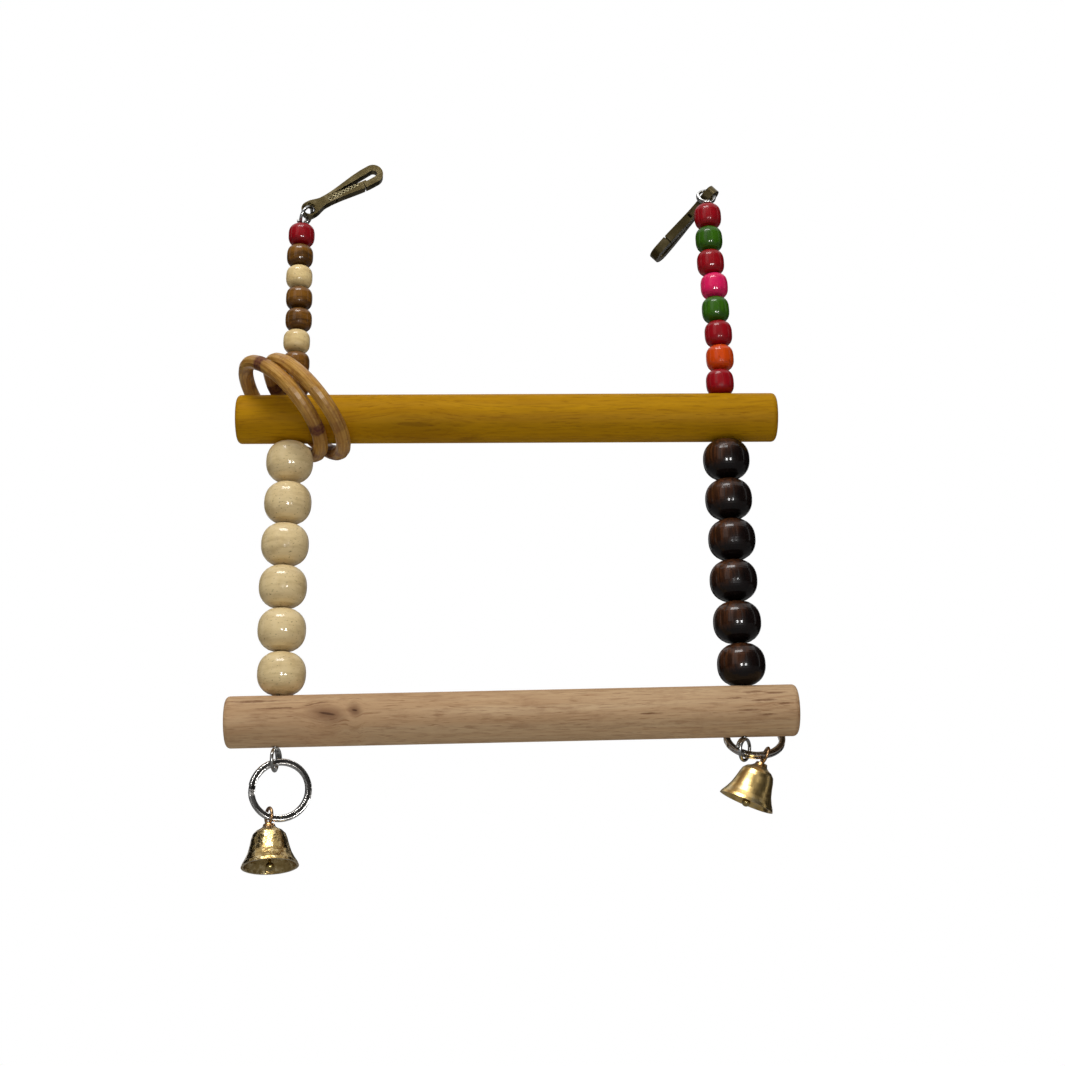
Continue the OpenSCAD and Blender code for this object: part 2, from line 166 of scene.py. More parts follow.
# Colours are linear, sizes in metres. tone, pale and dark are the wood's shades. grain and mottle are how
# far each darkens it, depth the relief of the grain and rise the perch's tilt, in radians.
# A knot is x, y and z from the perch's middle, then its half length and half height, and its marks climb
# by slope. scar is the strength of all marks, halo of a knot's stain and heart of its core.
# A streak is x, z, half length and half height, on the front. blush is x where a warmer stretch starts,
# x where it is full, and its strength.
upperPerch = {
    "tone": (0.385, 0.182, 0.0025), "pale": (0.450, 0.225, 0.0035), "dark": (0.205, 0.084, 0.0015),
    "scarColour": (0.165, 0.066, 0.003), "heartColour": (0.090, 0.034, 0.003),
    "rough": 0.50, "fresnel": 0.03, "depth": 0.00011, "mottle": 0.12, "grain": 0.50, "rise": 0.0,
    "scar": 0.75, "halo": 0.42, "heart": 0.35, "slope": 0.04,
    "knots": [(-0.0337, -0.0055, -0.0052, 0.0150, 0.0021)],
    "streaks": [(-0.017, -0.0074, 0.007, 0.0005), (0.061, 0.0060, 0.012, 0.0005),
                (0.043, 0.0002, 0.006, 0.0004), (-0.083, 0.0046, 0.012, 0.0004)]}
lowerPerch = {
    "tone": (0.455, 0.285, 0.150), "pale": (0.545, 0.375, 0.215), "dark": (0.255, 0.125, 0.058),
    "scarColour": (0.135, 0.055, 0.024), "heartColour": (0.045, 0.018, 0.008),
    "rough": 0.66, "fresnel": 0.10, "depth": 0.00018, "mottle": 0.42, "grain": 0.50,
    "rise": math.radians(0.825), "scar": 1.15, "halo": 0.66, "heart": 0.85, "slope": 0.16,
    "blush": (-0.040, -0.080, 0.30), "blushColour": (0.60, 0.30, 0.145),
    "knots": [(-0.0634, -0.009, 0.0003, 0.0058, 0.0012), (-0.0540, -0.009, 0.0013, 0.0022, 0.0010)],
    "streaks": [(-0.0665, 0.0022, 0.0040, 0.0003), (-0.0610, -0.0002, 0.0028, 0.0003),
                (-0.088, 0.0048, 0.009, 0.0004), (-0.080, 0.0018, 0.007, 0.0003),
                (0.047, -0.0019, 0.003, 0.0003), (0.086, 0.0022, 0.0040, 0.0004),
                (0.091, 0.0050, 0.0032, 0.0004), (0.081, -0.0012, 0.0030, 0.0003),
                (0.094, 0.0006, 0.0026, 0.0004), (0.077, 0.0034, 0.0028, 0.0003),
                (0.088, -0.0030, 0.0026, 0.0003), (0.083, 0.0058, 0.0036, 0.0004)]}

# What both perches share: their noises, as Shader.grain takes them, then between which values each one
# turns into a mark, how strong that is, and what each adds to the relief and to the roughness. wander is
# how far the grain drifts, in metres.
wood = {
    "noise": {"drift": (9, 25, 25, 2, 0.55), "broad": (16, 60, 60, 3, 0.55),
              "bands": (6, 190, 190, 3, 0.55), "fine": (90, 1250, 1250, 4, 0.65),
              "pores": (170, 2600, 2600, 1, 0.55), "mottle": (110, 300, 300, 4, 0.65),
              "chafed": (200, 200, 200, 3, 0.55)},
    "edge": {"bands": (0.34, 0.68), "broad": (0.50, 0.85), "mottle": (0.50, 0.75), "fine": (0.46, 0.72),
             "pores": (0.62, 0.72), "chafed": (0.45, 0.6), "blush": (0.35, 0.65)},
    "share": {"broad": 0.30, "pores": 0.55, "chafed": 0.35},
    "relief": {"fine": 0.5, "pores": 0.35, "broad": 0.3, "scar": 0.3},
    "rough": {"fine": 0.25, "pores": 0.1}, "wander": 0.006}

# Knots and streaks. front is where across the perch they fade in, towards the viewer, and edge how far
# from its middle a mark starts and is full. The grain parts round a knot as far as spread and part times
# its half sizes and closes over seam, and through is how deep the knot goes. core and stain are its two
# marks' shares of the half length and half height. ragged is how frayed an edge is.
knot = {"front": (0.004, -0.003), "spread": 1.8, "part": 1.5, "seam": 0.00002, "through": 0.006,
        "core": (0.40, 0.32), "coreEdge": (1.4, 0.6), "stain": (1, 2.2), "stainEdge": (1.7, 0.2),
        "noise": (230, 400, 900, 4, 0.65), "ragged": 0.9, "stainRagged": 0.8}
streak = {"front": (0.002, -0.002), "edge": (1.7, 0.1), "share": 0.65,
          "noise": (300, 900, 1300, 4, 0.65), "ragged": 3.4}

# A perch's end: the cut face's edge and the worn arris, both from the end, the rings' own middle behind
# and below the perch's, rings a metre, and how dark the cut and its rings are
perchEnd = {"cut": (0.0006, 0.0001), "arris": (0.0022, 0.0010), "behind": 0.002, "below": 0.0015,
            "rings": 2300, "cutShare": 0.25, "ringShare": 0.45}


def knotMarks(m, spot, wave, look):
    # The grain parts round each knot, which is darkest at its core and stains the wood near it
    x, y, z = spot
    stains, cores = [], []
    for kx, ky, kz, rx, rz in look["knots"]:
        lens = abs(x - kx).step(rx * knot["spread"], 0.0) * y.step(*knot["front"]) * (rz * knot["part"])
        side = wave - kz
        wave = (abs(side) - lens).top(0) * (side.step(-knot["seam"], knot["seam"]) * 2 - 1) + kz
        ragged = (m.grain(spot, knot["noise"]) - 0.5) * knot["ragged"]
        climb = z - kz + (x - kx) * look["slope"]
        through = (y - ky, knot["through"])
        long, tall = knot["core"]
        core = awayFrom((x - kx, rx * long), (climb, rz * tall), through) + ragged
        long, tall = knot["stain"]
        stain = awayFrom((x - kx, rx * long), (climb, rz * tall), through) + ragged * knot["stainRagged"]
        stains.append(stain.step(*knot["stainEdge"]) * look["halo"] * look["scar"])
        cores.append(core.step(*knot["coreEdge"]))
    return wave, stains, cores


def streakMarks(m, spot, look):
    x, y, wave = spot
    marks = []
    for sx, sz, rx, rz in look["streaks"]:
        ragged = (m.grain(spot, streak["noise"]) - 0.5) * streak["ragged"]
        away = awayFrom((x - sx, rx), (wave - sz, rz)) + ragged
        marks.append(away.step(*streak["edge"]) * y.step(*streak["front"]) * look["scar"] * streak["share"])
    return marks


def endGrain(m, tone, spot, half, dark):
    # Rings about an off-centre heart, and a darker worn arris
    x, y, z = spot
    cutFrom, cutTo = perchEnd["cut"]
    arrisFrom, arrisTo = perchEnd["arris"]
    fromHeart = ((y - perchEnd["behind"]) ** 2 + (z + perchEnd["below"]) ** 2).root()
    rings = m.noise(m.vector(fromHeart * perchEnd["rings"], 0.5, 0.5), detail=2)
    cut = abs(x).step(half - cutFrom, half - cutTo)
    tone = m.mix(cut * (perchEnd["cutShare"] + rings * perchEnd["ringShare"]), tone, dark)
    chafed = m.grain(spot, wood["noise"]["chafed"]).step(*wood["edge"]["chafed"])
    arris = abs(x).step(half - arrisFrom, half - arrisTo)
    return m.mix(arris * chafed * wood["share"]["chafed"], tone, dark)


def perchLook(name, look):
    m = Shader(name + "Wood")
    noise, edge, share, relief = (wood[key] for key in ("noise", "edge", "share", "relief"))
    lo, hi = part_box(name)
    along = Vector((math.cos(look["rise"]), 0, math.sin(look["rise"])))
    spot = m.place((lo + hi) / 2, [along, axisY, Vector((-along.z, 0, along.x))])
    x, y, z = spot
    drift = m.grain(spot, noise["drift"]) - 0.5
    wave, stains, cores = knotMarks(m, spot, z + drift * wood["wander"], look)
    grainSpot = [x, y, wave]
    fine = m.grain(grainSpot, noise["fine"])
    bands = m.grain(grainSpot, noise["bands"])
    pores = m.grain(grainSpot, noise["pores"]).step(*edge["pores"])
    broad = m.grain(spot, noise["broad"])
    mottle = m.grain(spot, noise["mottle"])
    scar = reduce(Sock.top, stains + streakMarks(m, grainSpot, look))
    dark = look["dark"]
    tone = m.mix(bands.step(*edge["bands"]), look["tone"], look["pale"])
    tone = m.mix(broad.step(*edge["broad"]) * share["broad"], tone, dark)
    tone = m.mix(mottle.step(*edge["mottle"]) * look["mottle"], tone, dark)
    tone = m.mix(fine.step(*edge["fine"]) * look["grain"], tone, dark)
    tone = m.mix(pores * share["pores"], tone, dark)
    tone = m.mix(scar, tone, look["scarColour"])
    tone = m.mix(reduce(Sock.top, cores) * look["heart"], tone, look["heartColour"])
    if "blush" in look:
        start, full, most = look["blush"]
        tone = m.mix(x.step(start, full) * broad.step(*edge["blush"]) * most, tone, look["blushColour"])
    tone = endGrain(m, tone, spot, (hi.x - lo.x) / 2, dark)
    height = fine * relief["fine"] + (1 - pores) * relief["pores"]
    height = height + broad * relief["broad"] - scar * relief["scar"]
    rough = look["rough"] + (fine - 0.5) * wood["rough"]["fine"] + pores * wood["rough"]["pores"]
    dress(m.surface(**{"Base Color": tone, "Roughness": rough, "Normal": m.bump(height, look["depth"]),
                       "Specular IOR Level": look["fresnel"]}), name)


perchLook("upper_perch", upperPerch)
perchLook("lower_perch", lowerPerch)
print("perches done")

# Lacquered turned wood. tone is its lighter grain and dark its darker, grain how strong that is and streak
# its streaks' own share, gloss the lacquer, ends how far the tone darkens towards the hole, specks how many
# pores show, depth the relief, and glow a painted light: a warmer tone painted on the side that the light
# falls on.
beadLooks = {
    "creamSmall": {"tone": (0.74, 0.56, 0.265), "dark": (0.44, 0.275, 0.095), "grain": 0.65, "streak": 0.8,
                   "gloss": 0.6, "ends": 0.10, "specks": 0.5, "depth": 0.00008},
    "creamLarge": {"tone": (0.73, 0.565, 0.300), "dark": (0.42, 0.285, 0.120), "grain": 0.72, "streak": 0.5,
                   "gloss": 0.6, "ends": 0.05, "specks": 0.8, "depth": 0.00010},
    "brown": {"tone": (0.195, 0.080, 0.0100), "dark": (0.028, 0.011, 0.0028), "grain": 1.0, "streak": 0.8,
              "gloss": 0.5, "ends": 0.75, "specks": 0.3, "depth": 0.00006},
    "darkLarge": {"tone": (0.0066, 0.0030, 0.0024), "dark": (0.0018, 0.0012, 0.0011), "grain": 0.9,
                  "streak": 0.8, "gloss": 0.38, "ends": 0.35, "specks": 0.4, "depth": 0.00006,
                  "paintedLight": (0.110, 0.036, 0.011)},
    "red": {"tone": (0.285, 0.0028, 0.0078), "dark": (0.135, 0.0018, 0.0045), "grain": 0.55, "streak": 0.8,
            "gloss": 0.4, "ends": 0.15, "specks": 0.4, "depth": 0.00006},
    "green": {"tone": (0.033, 0.118, 0.0035), "dark": (0.014, 0.045, 0.0022), "grain": 0.8, "streak": 0.8,
              "gloss": 0.4, "ends": 0.15, "specks": 0.4, "depth": 0.00006},
    "pink": {"tone": (0.68, 0.0110, 0.100), "dark": (0.38, 0.0060, 0.050), "grain": 0.4, "streak": 0.8,
             "gloss": 0.45, "ends": 0.10, "specks": 0.4, "depth": 0.00006},
    "orange": {"tone": (0.60, 0.058, 0.0010), "dark": (0.36, 0.026, 0.0025), "grain": 0.5, "streak": 0.8,
               "gloss": 0.5, "ends": 0.15, "specks": 0.4, "depth": 0.00006},
}
beadOrder = {  # from the top bead down
    "left_small_bead": ["red", "brown", "creamSmall", "brown", "brown", "creamSmall", "brown", "brown"],
    "right_small_bead": ["red", "green", "red", "pink", "green", "red", "orange", "red"],
    "left_large_bead": ["creamLarge"] * 6,
    "right_large_bead": ["darkLarge"] * 6,
}
grainAlongHole = ("darkLarge", "red", "green", "pink", "orange")

# Noises of the beads, as Shader.grain takes them. The streaks wander by bend along one axis, 0 or 2, where
# 2 is the hole's.
beadGrain = {
    "warp": (60, 60, 60, 2, 0.55),
    "along": {"streaks": (900, 900, 60, 4, 0.6), "patches": (150, 150, 45, 3, 0.55),
              "specks": (1900, 1900, 500, 2, 0.55), "axis": 0, "bend": 2},
    "across": {"streaks": (70, 120, 700, 4, 0.62), "patches": (130, 130, 200, 4, 0.6),
               "specks": (900, 1300, 1900, 2, 0.55), "axis": 2, "bend": 3}}

# What all beads share. streaks, patches and specks are the noise values between which each one turns into
# a mark, ends is from where to where along the bead it darkens, and paintedLightSide points at the side
# where the warmer tone of painted light is painted, the side that the light falls on.
lacquer = {
    "streaks": (0.42, 0.74), "patches": (0.46, 0.76), "patchShare": 0.7, "specks": (0.62, 0.72),
    "speckDark": 0.6, "ends": (0.35, 0.92), "paintedLightSide": (-0.55, -0.70, 0.46), "paintedLight": (0.45, 1.0),
    "paintedLightStreaks": (0.60, 0.36), "paintedLightShare": 0.45, "paintedLightLeast": 0.20,
    "relief": {"streaks": 0.5, "patches": 0.7, "specks": 0.25},
    "rough": 0.38, "roughStreaks": 0.2, "roughSpecks": 0.15, "coatLeast": 0.86, "coatPatches": 0.2,
    "coatRough": 0.11, "fresnel": 0.08, "rowSeed": 17.3, "beadSeed": 5.7}


def beadLook(name, kind, seed):
    look = beadLooks[kind]
    grain = beadGrain["along" if kind in grainAlongHole else "across"]
    m = Shader(name + "Lacquer")
    lo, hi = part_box(name)
    radius = (hi.x - lo.x) / 2
    spot = m.place((lo + hi) / 2, [axisX, axisY, axisZ])
    x, y, z = spot
    warp = m.grain(spot, beadGrain["warp"], seed=seed) - 0.5
    streaks = m.grain(spot, grain["streaks"], (grain["axis"], warp * grain["bend"]), seed)
    patches = m.grain(spot, grain["patches"], seed=seed)
    specks = m.grain(spot, grain["specks"], seed=seed).step(*lacquer["specks"])
    streakShare = look["grain"] * look["streak"]
    tone = m.mix(streaks.step(*lacquer["streaks"]) * streakShare, look["tone"], look["dark"])
    patchShare = look["grain"] * lacquer["patchShare"]
    tone = m.mix(patches.step(*lacquer["patches"]) * patchShare, tone, look["dark"])
    tone = m.mix(abs(z / radius).step(*lacquer["ends"]) * look["ends"], tone, look["dark"])
    # Painted light: the side facing the light, up and to the front left, is painted a warmer tone, most
    # along the streaks
    if "paintedLight" in look:
        gx, gy, gz = lacquer["paintedLightSide"]
        lit = ((x * gx + y * gy + z * gz) / radius).step(*lacquer["paintedLight"])
        paintedLightStrength = streaks.step(*lacquer["paintedLightStreaks"]) * lacquer["paintedLightShare"] + lacquer["paintedLightLeast"]
        tone = m.mix(lit * paintedLightStrength, tone, look["paintedLight"])
    tone = m.mix(specks * look["specks"], tone, [part * lacquer["speckDark"] for part in look["dark"]])
    relief = lacquer["relief"]
    height = streaks * relief["streaks"] + patches * relief["patches"] + (1 - specks) * relief["specks"]
    rough = lacquer["rough"] + (streaks - 0.5) * lacquer["roughStreaks"] + specks * lacquer["roughSpecks"]
    coat = look["gloss"] * (lacquer["coatLeast"] + patches * lacquer["coatPatches"])
    dress(m.surface(**{"Base Color": tone, "Roughness": rough, "Normal": m.bump(height, look["depth"]),
                       "Coat Weight": coat, "Coat Roughness": lacquer["coatRough"],
                       "Specular IOR Level": lacquer["fresnel"]}), name)


for row, (rowName, kinds) in enumerate(beadOrder.items()):
    for i, kind in enumerate(kinds):
        beadLook("%s_%d" % (rowName, i + 1), kind, row * lacquer["rowSeed"] + i * lacquer["beadSeed"])
print("beads done")

# noise is each pattern's cells a metre, and edge the values between which it turns into a mark. A node's
# band is as wide as bandWidth times bandEnds, its stain as stainEnds. turn is each ring's lie in degrees
# about x, y and z, and marks the angles round it where its nodes are, and how strong each one shows.
cane = {
    "tone": (0.36, 0.168, 0.027), "pale": (0.56, 0.315, 0.070), "dark": (0.15, 0.055, 0.011),
    "band": (0.090, 0.020, 0.010), "blot": (0.22, 0.075, 0.022),
    "noise": {"fibres": 1500, "patches": 130, "blots": 310, "small": 900}, "twist": 1.5, "cross": 3,
    "edge": {"fibres": (0.4, 0.7), "patches": (0.5, 0.75), "blots": (0.52, 0.70), "small": (0.62, 0.35)},
    "share": {"patches": 0.45, "blots": 0.6, "stain": 0.40, "band": 0.68, "bandSmall": 0.32},
    "relief": {"fibres": 0.4, "band": 0.5, "bandSmall": 0.8, "patches": 0.3},
    "bandWidth": 0.0022, "bandEnds": (1.35, 0.6), "stainEnds": (4, 1), "bandRagged": 0.0012,
    "sideFade": 0.004, "rough": 0.38, "roughFibres": 0.25, "roughBand": 0.25, "depth": 0.00016,
    "coat": 0.16, "coatBand": 0.12, "coatRough": 0.20, "fresnel": 0.2,
    "turn": {"cane_ring_1": (9.03, 46.23, 26.27), "cane_ring_2": (12.09, 46.76, 27.18)},
    "marks": {"cane_ring_1": [(60, 1.0), (219, 1.0), (311, 1.0)],
              "cane_ring_2": [(20, 0.7), (135, 1.0), (307, 0.4)]}}


def rotationOf(angles):
    ax, ay, az = (math.radians(angle) for angle in angles)
    return Matrix.Rotation(az, 3, "Z") @ Matrix.Rotation(ay, 3, "Y") @ Matrix.Rotation(ax, 3, "X")


def caneNodes(x, y, small, marks):
    # A dark band at each node, and a softer stain to both sides of it
    bandFrom, bandTo = (cane["bandWidth"] * end for end in cane["bandEnds"])
    stainFrom, stainTo = (cane["bandWidth"] * end for end in cane["stainEnds"])
    bands, stains = [], []
    for angle, strength in marks:
        a = math.radians(angle)
        across = abs(y * math.cos(a) - x * math.sin(a) + (small - 0.5) * cane["bandRagged"])
        thisSide = (x * math.cos(a) + y * math.sin(a)).step(0.0, cane["sideFade"]) * strength
        bands.append(across.step(bandFrom, bandTo) * thisSide)
        stains.append(across.step(stainFrom, stainTo) * thisSide)
    return reduce(Sock.top, bands), reduce(Sock.top, stains)


def caneLook(name):
    m = Shader(name + "Skin")
    noise, edge, share, relief = (cane[key] for key in ("noise", "edge", "share", "relief"))
    points = [v.co for v in nodes[name].data.vertices]
    x, y, z = m.place(sum(points, Vector()) / len(points), rotationOf(cane["turn"][name]).col)
    reach = (x * x + y * y).root()
    c, s = x / reach, y / reach
    u = reach * noise["fibres"] + c * cane["twist"]
    v = z * noise["fibres"] + s * cane["twist"]
    fibres = m.noise(m.vector(u, v, c * s * cane["cross"]), detail=4, rough=0.6)
    patches = m.noise(m.vector(x, y, z), noise["patches"])
    small = m.noise(m.vector(x, y, z), noise["small"])
    blots = m.noise(m.vector(x, y, z), noise["blots"], detail=5, rough=0.7)
    band, stain = caneNodes(x, y, small, cane["marks"][name])
    tone = m.mix(fibres.step(*edge["fibres"]), cane["tone"], cane["pale"])
    tone = m.mix(patches.step(*edge["patches"]) * share["patches"], tone, cane["dark"])
    tone = m.mix(blots.step(*edge["blots"]) * share["blots"], tone, cane["blot"])
    tone = m.mix(stain * share["stain"], tone, cane["dark"])
    bandShare = share["band"] + small.step(*edge["small"]) * share["bandSmall"]
    tone = m.mix(band * bandShare, tone, cane["band"])
    height = fibres * relief["fibres"] + band * (relief["band"] + small * relief["bandSmall"])
    height = height + patches * relief["patches"]
    rough = cane["rough"] + (fibres - 0.5) * cane["roughFibres"] + band * cane["roughBand"]
    dress(m.surface(**{"Base Color": tone, "Roughness": rough, "Normal": m.bump(height, cane["depth"]),
                       "Coat Weight": cane["coat"] - band * cane["coatBand"],
                       "Coat Roughness": cane["coatRough"], "Specular IOR Level": cane["fresnel"]}), name)


for name in cane["turn"]:
    caneLook(name)
print("cane rings done")

# What all metals share. patches and small are cells a metre, scratches are as Shader.grain takes them and
# lean by slant, and edge is the noise values between which each one turns into a mark.
metal = {
    "patches": 260, "small": 1500, "scratches": (700, 260, 5200, 2, 0.55), "slant": 300,
    "edge": {"scratches": (0.60, 0.66), "worn": (0.48, 0.72), "dull": (0.52, 0.76), "small": (0.58, 0.78)},
    "smallShare": 0.12, "smallRelief": 0.004, "roughPatches": 0.12, "roughScratches": 0.02}

# tone is the plating, worn where it is polished through and dark where it is dull, as far as grime says.
# ripple is the relief in metres, and a larger scale makes the patches smaller.
steelWire = {"tone": (0.40, 0.395, 0.38), "worn": (0.60, 0.60, 0.58), "dark": (0.11, 0.105, 0.10),
             "rough": 0.24, "grime": 0.6, "ripple": 0.00003, "scale": 1.6}
copperWire = {"tone": (0.34, 0.19, 0.085), "worn": (0.50, 0.34, 0.19), "dark": (0.10, 0.05, 0.02),
              "rough": 0.32, "grime": 0.7, "ripple": 0.00003, "scale": 2.0}
clapperMetal = {"tone": (0.42, 0.31, 0.12), "worn": (0.55, 0.46, 0.27), "dark": (0.12, 0.075, 0.025),
                "rough": 0.28, "grime": 0.6, "ripple": 0.00003, "scale": 1.5}


def metalLook(name, look, names, extra=None):
    m = Shader(name)
    edge = metal["edge"]
    spot = m.place((0, 0, 0), [axisX, axisY, axisZ])
    patches = m.noise(m.vector(*spot), metal["patches"] * look["scale"])
    small = m.noise(m.vector(*spot), metal["small"] * look["scale"])
    scratches = m.grain(spot, metal["scratches"], (0, spot[1] * metal["slant"])).step(*edge["scratches"])
    tone = m.mix(patches.step(*edge["worn"]), look["tone"], look["worn"])
    tone = m.mix((1 - patches).step(*edge["dull"]) * look["grime"], tone, look["dark"])
    tone = m.mix(small.step(*edge["small"]) * (look["grime"] * metal["smallShare"]), tone, look["dark"])
    height = patches + small * metal["smallRelief"]
    rough = look["rough"] + (patches - 0.5) * metal["roughPatches"] + scratches * metal["roughScratches"]
    if extra:
        tone, height, rough = extra(m, tone, height, rough)
    dress(m.surface(**{"Base Color": tone, "Metallic": 1.0, "Roughness": rough,
                       "Normal": m.bump(height, look["ripple"])}), *names)


# The knurl runs along the gate from its pin, start to end, in a strip of half width half about middle.
# Its teeth are painted lighter, a painted highlight, and its pits darker, a painted shade.
clip = {
    "tone": (0.086, 0.065, 0.027), "worn": (0.165, 0.132, 0.070), "dark": (0.036, 0.024, 0.008),
    "rough": 0.30, "grime": 0.5, "ripple": 0.00001, "scale": 0.5,
    "knurl": {"start": -0.0022, "end": 0.0122, "middle": 0.0001, "half": 0.00085, "pitch": 0.0030,
              "fade": 0.0003, "fadeSide": 0.0001, "litTooth": (0.30, 0.26, 0.15), "shadedPit": (0.012, 0.008, 0.003),
              "litToothShare": 0.8, "groove": (0.25, 0.60), "relief": 4, "rough": 0.25}}


def knurled(side):
    # Crossed grooves along the middle of the gate's flat sides, with a painted highlight on the teeth and
    # painted shade in the pits
    def extra(m, tone, height, rough):
        knurl = clip["knurl"]
        pinAt, eyeAt = pivots[side + "_gate_open"], pivots[side + "_clip_swing"]
        flat = hinges[side + "_clip_swing"]
        corners = [v.co for v in nodes[side + "_clip_body"].data.vertices]
        tip = max(corners, key=lambda corner: (corner - eyeAt).length)
        along = (tip - eyeAt - flat * (tip - eyeAt).dot(flat)).normalized()
        u, v = m.place(pinAt, [along, flat.cross(along)])
        v = v - knurl["middle"]
        turn = 2 * math.pi / knurl["pitch"]
        grooves = abs(((u + v) * turn).sine() * ((u - v) * turn).sine())
        started = u.step(knurl["start"], knurl["start"] + knurl["fade"])
        notEnded = u.step(knurl["end"], knurl["end"] - knurl["fade"])
        strip = started * notEnded * abs(v).step(knurl["half"], knurl["half"] - knurl["fadeSide"])
        shadedPit = grooves.step(*knurl["groove"]) * strip
        # Painted highlight over the knurled strip, then painted shade in its pits
        tone = m.mix(shadedPit, m.mix(strip * knurl["litToothShare"], tone, knurl["litTooth"]), knurl["shadedPit"])
        return tone, height - shadedPit * knurl["relief"], rough + shadedPit * knurl["rough"]
    return extra


# The two bells have their own crinkle and polish, and their own painted light and shade: shade scales the
# one brass tone darker on the left bell and lighter on the right. neck is the dark copper that the brass
# turns to above neckEnd, which is measured down from the bell's pivot.
bellBrass = {
    "tone": (0.52, 0.362, 0.138), "worn": (0.68, 0.55, 0.31), "dark": (0.19, 0.112, 0.036), "grime": 0.45,
    "neck": (0.34, 0.17, 0.065), "neckEnd": 0.0050, "neckFade": 0.0012, "neckShare": 0.8,
    "left": {"ripple": 0.00026, "rough": 0.22, "scale": 2.2, "paintedLightAndShade": 0.78},
    "right": {"ripple": 0.00004, "rough": 0.30, "scale": 0.8, "paintedLightAndShade": 1.45}}


def coppery(side):
    def extra(m, tone, height, rough):
        top = pivots[side + "_bell_swing"]
        axis = (pivots[side + "_clapper_swing"] - top).normalized()
        down = m.place(top, [axis])[0]
        neck = down.step(bellBrass["neckEnd"], bellBrass["neckEnd"] - bellBrass["neckFade"])
        return m.mix(neck * bellBrass["neckShare"], tone, bellBrass["neck"]), height, rough
    return extra


# rim is a painted highlight along both edges of a ring's flat, and groove half the width of the painted
# shade line between them
ringSteel = {
    "tone": (0.26, 0.248, 0.232), "worn": (0.60, 0.59, 0.57), "dark": (0.07, 0.063, 0.056),
    "rough": 0.20, "grime": 0.8, "ripple": 0.00002, "scale": 1.2,
    "litRim": (0.66, 0.64, 0.61), "litRimShare": 0.75, "groove": 0.00045, "grooveFade": 0.0003,
    "grooveShadeShare": 0.65, "relief": 6, "edges": (2, 98)}


def coiled(side):
    # The ring's plane and its inner and outer edges come from its own mesh, the edges as percentiles. The
    # flat is painted lighter along both edges, a painted highlight, and darker along its middle, a painted
    # shade.
    def extra(m, tone, height, rough):
        points = np.array([v.co for v in nodes[side + "_split_ring"].data.vertices])
        middle = points.mean(axis=0)
        flat = np.linalg.svd(points - middle, full_matrices=False)[2]
        u, v = m.place(middle, [tuple(map(float, axis)) for axis in flat[:2]])
        reach = np.hypot(*((points - middle) @ flat[:2].T).T)
        inner, outer = (float(np.percentile(reach, share)) for share in ringSteel["edges"])
        away = abs((u * u + v * v).root() - (inner + outer) / 2)
        litRim = away.step(ringSteel["groove"], ringSteel["groove"] + ringSteel["grooveFade"])
        # Painted shade along the middle of the flat, then a painted highlight along its edges
        tone = m.mix((1 - litRim) * ringSteel["grooveShadeShare"], tone, ringSteel["dark"])
        tone = m.mix(litRim * ringSteel["litRimShare"], tone, ringSteel["litRim"])
        return tone, height + litRim * ringSteel["relief"], rough
    return extra


sides = ("left", "right")
metalLook("wireSteel", steelWire, [side + "_wire" for side in sides])
metalLook("clipBrass", clip, [side + piece for side in sides for piece in ("_clip_body", "_gate_pin")])
for side in sides:
    metalLook(side + "RingSteel", ringSteel, [side + "_split_ring"], coiled(side))
    metalLook(side + "GateBrass", clip, [side + "_clip_gate"], knurled(side))
    brass = {**bellBrass, **bellBrass[side]}
    # Painted light and shade: each bell's copy of the brass tone is painted lighter or darker
    brass["tone"] = [part * brass["paintedLightAndShade"] for part in bellBrass["tone"]]
    metalLook(side + "BellBrass", brass, [side + "_bell"], coppery(side))
metalLook("loopCopper", copperWire, [side + "_bell_loop" for side in sides])
metalLook("clapperMetal", clapperMetal, [side + "_clapper" for side in sides])
print("metal done")

# Camera at the photograph's viewing angle: focal length and the photograph's longer side are in pixels
camera = {"at": (0.046918, -0.580015, -0.349218), "pitch": 19.167, "yaw": 1.311, "roll": -0.742,
          "focal": 1700, "frame": 1066, "sensor": 36, "clip": (0.01, 20)}
yaw, pitch, roll = (math.radians(camera[key]) for key in ("yaw", "pitch", "roll"))
forward = Vector((math.sin(yaw) * math.cos(pitch), math.cos(yaw) * math.cos(pitch), math.sin(pitch)))
level = Vector((math.cos(yaw), -math.sin(yaw), 0))
upright = level.cross(forward)
right = math.cos(roll) * level + math.sin(roll) * upright
up = -math.sin(roll) * level + math.cos(roll) * upright
lens = bpy.data.cameras.new("camera")
lens.lens = camera["focal"] * camera["sensor"] / camera["frame"]
lens.sensor_width = camera["sensor"]
lens.clip_start, lens.clip_end = camera["clip"]
eye = bpy.data.objects.new("camera", lens)
eye.matrix_world = Matrix.Translation(camera["at"]) @ Matrix((right, up, -forward)).transposed().to_4x4()
scene.collection.objects.link(eye)
scene.camera = eye

# Lamps: place, width, height and watts. The two spots only make the dots on the beads, and the fill and
# the back lamp light the surfaces without showing in their gloss.
light = {"aim": (0.05, 0, -0.14), "world": 0.24, "spots": ("spotLeft", "spotRight"),
         "unmirrored": ("fill", "back"),
         "lamps": {"key": ((-0.10, -0.62, 0.66), 0.60, 0.22, 7.2),
                   "fill": ((0.20, -0.98, -0.06), 0.6, 0.6, 2.3),
                   "back": ((-0.10, 0.95, 0.20), 0.7, 0.7, 4.2),
                   "spotLeft": ((0.06, -0.66, -0.29), 0.09, 0.09, 1.6),
                   "spotRight": ((0.29, -0.66, -0.27), 0.09, 0.09, 1.6)}}

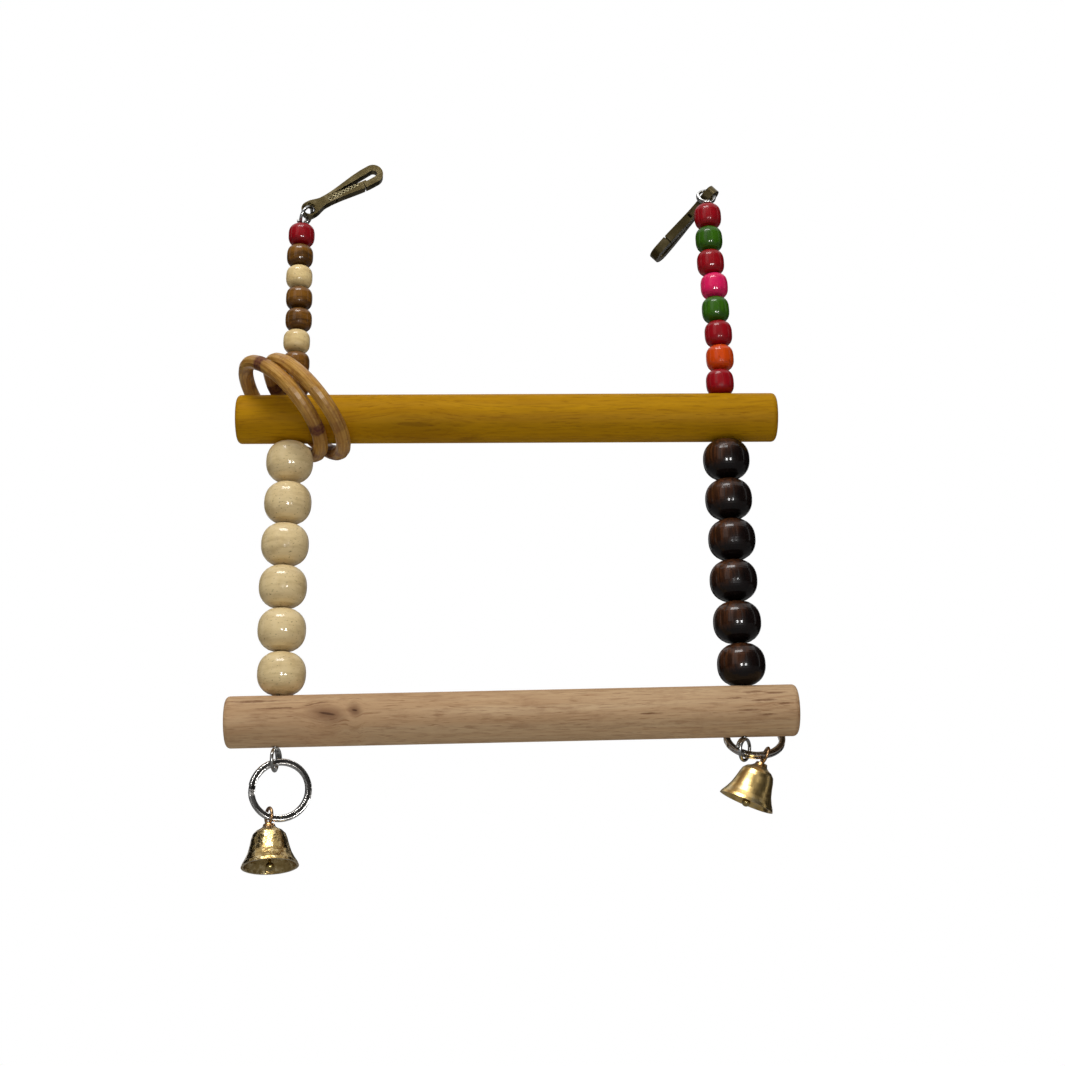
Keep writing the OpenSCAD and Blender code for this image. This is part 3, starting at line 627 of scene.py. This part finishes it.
for name, (at, width, tall, watts) in light["lamps"].items():
    data = bpy.data.lights.new(name, "AREA")
    data.size = width
    if name in light["spots"]:
        data.shape = "DISK"
    else:
        data.shape = "RECTANGLE"
        data.size_y = tall
    data.energy = watts
    lamp = bpy.data.objects.new(name, data)
    lamp.location = at
    lamp.rotation_euler = (Vector(light["aim"]) - Vector(at)).to_track_quat("-Z", "Y").to_euler()
    lamp.visible_diffuse = name not in light["spots"]
    lamp.visible_glossy = name not in light["unmirrored"]
    scene.collection.objects.link(lamp)

# World: plain soft light, and white where it is seen, mirrored or looked through
scene.world = bpy.data.worlds.new("studio")
w = Shader(scene.world)
rays = ("Is Camera Ray", "Is Glossy Ray", "Is Transmission Ray")
seen = [w.node("ShaderNodeLightPath", out=ray) for ray in rays]
soft = w.node("ShaderNodeBackground", inputs=[(1, 1, 1, 1), light["world"]])
white = w.node("ShaderNodeBackground", inputs=[(1, 1, 1, 1), 1.0])
sky = w.node("ShaderNodeMixShader", inputs=[reduce(Sock.top, seen), soft, white])
w.node("ShaderNodeOutputWorld", inputs=[sky])

# white is how much of the floor's colour is plain white to the camera; the rest keeps the toy's shadow
ground = {"z": -0.42, "middle": (0.05, 0), "size": 16, "colour": (0.58, 0.58, 0.57, 1), "white": 0.4}
bpy.ops.mesh.primitive_plane_add(size=ground["size"], location=(*ground["middle"], ground["z"]))
floor = bpy.context.object
floor.name = "floor"
f = Shader("floorPale")
paint = f.node("ShaderNodeBsdfDiffuse", inputs={"Color": ground["colour"]})
glowing = f.node("ShaderNodeEmission", inputs={"Color": (1, 1, 1, 1), "Strength": 1.0})
share = f.node("ShaderNodeLightPath", out="Is Camera Ray") * ground["white"]
f.node("ShaderNodeOutputMaterial", inputs=[f.node("ShaderNodeMixShader", inputs=[share, paint, glowing])])
floor.data.materials.append(f.owner)

# Dark flags round the toy, seen only in its gloss, with bright gaps between them for the metal to mirror.
# spans are each one's first and last angle in degrees, from straight ahead towards the right. under is the
# one on the floor: its y, width, depth and height above the floor.
flags = {"far": 1.5, "low": -0.95, "high": 1.40, "grey": 0.02,
         "spans": [(-22, 20), (24, 84), (90, 150), (156, 202), (212, 262), (270, 312)],
         "under": (-0.1, 1.7, 1.5, 0.001), "underGrey": 0.30}


def flag(name, at, width, tall, turn, grey):
    m = Shader(name + "Paint")
    paint = m.node("ShaderNodeBsdfDiffuse", inputs={"Color": (grey, grey, grey, 1)})
    m.node("ShaderNodeOutputMaterial", inputs=[paint])
    bpy.ops.mesh.primitive_plane_add(size=1, location=at, rotation=turn)
    panel = bpy.context.object
    panel.name = name
    panel.scale = (width, tall, 1)
    panel.data.materials.append(m.owner)
    panel.visible_camera = False
    panel.visible_diffuse = False
    panel.visible_shadow = False
    panel.visible_transmission = False


middleX = light["aim"][0]
middleZ = (flags["low"] + flags["high"]) / 2
tall = flags["high"] - flags["low"]
for i, (first, last) in enumerate(flags["spans"]):
    turn = math.radians((first + last) / 2)
    width = 2 * flags["far"] * math.tan(math.radians(last - first) / 2)
    at = (middleX + flags["far"] * math.sin(turn), -flags["far"] * math.cos(turn), middleZ)
    flag("flag%d" % (i + 1), at, width, tall, (math.pi / 2, 0, turn), flags["grey"])
y, width, deep, lift = flags["under"]
flag("flagUnder", (middleX, y, ground["z"] + lift), width, deep, (0, 0, 0), flags["underGrey"])

scene.view_settings.view_transform = "Standard"
print("stage done")
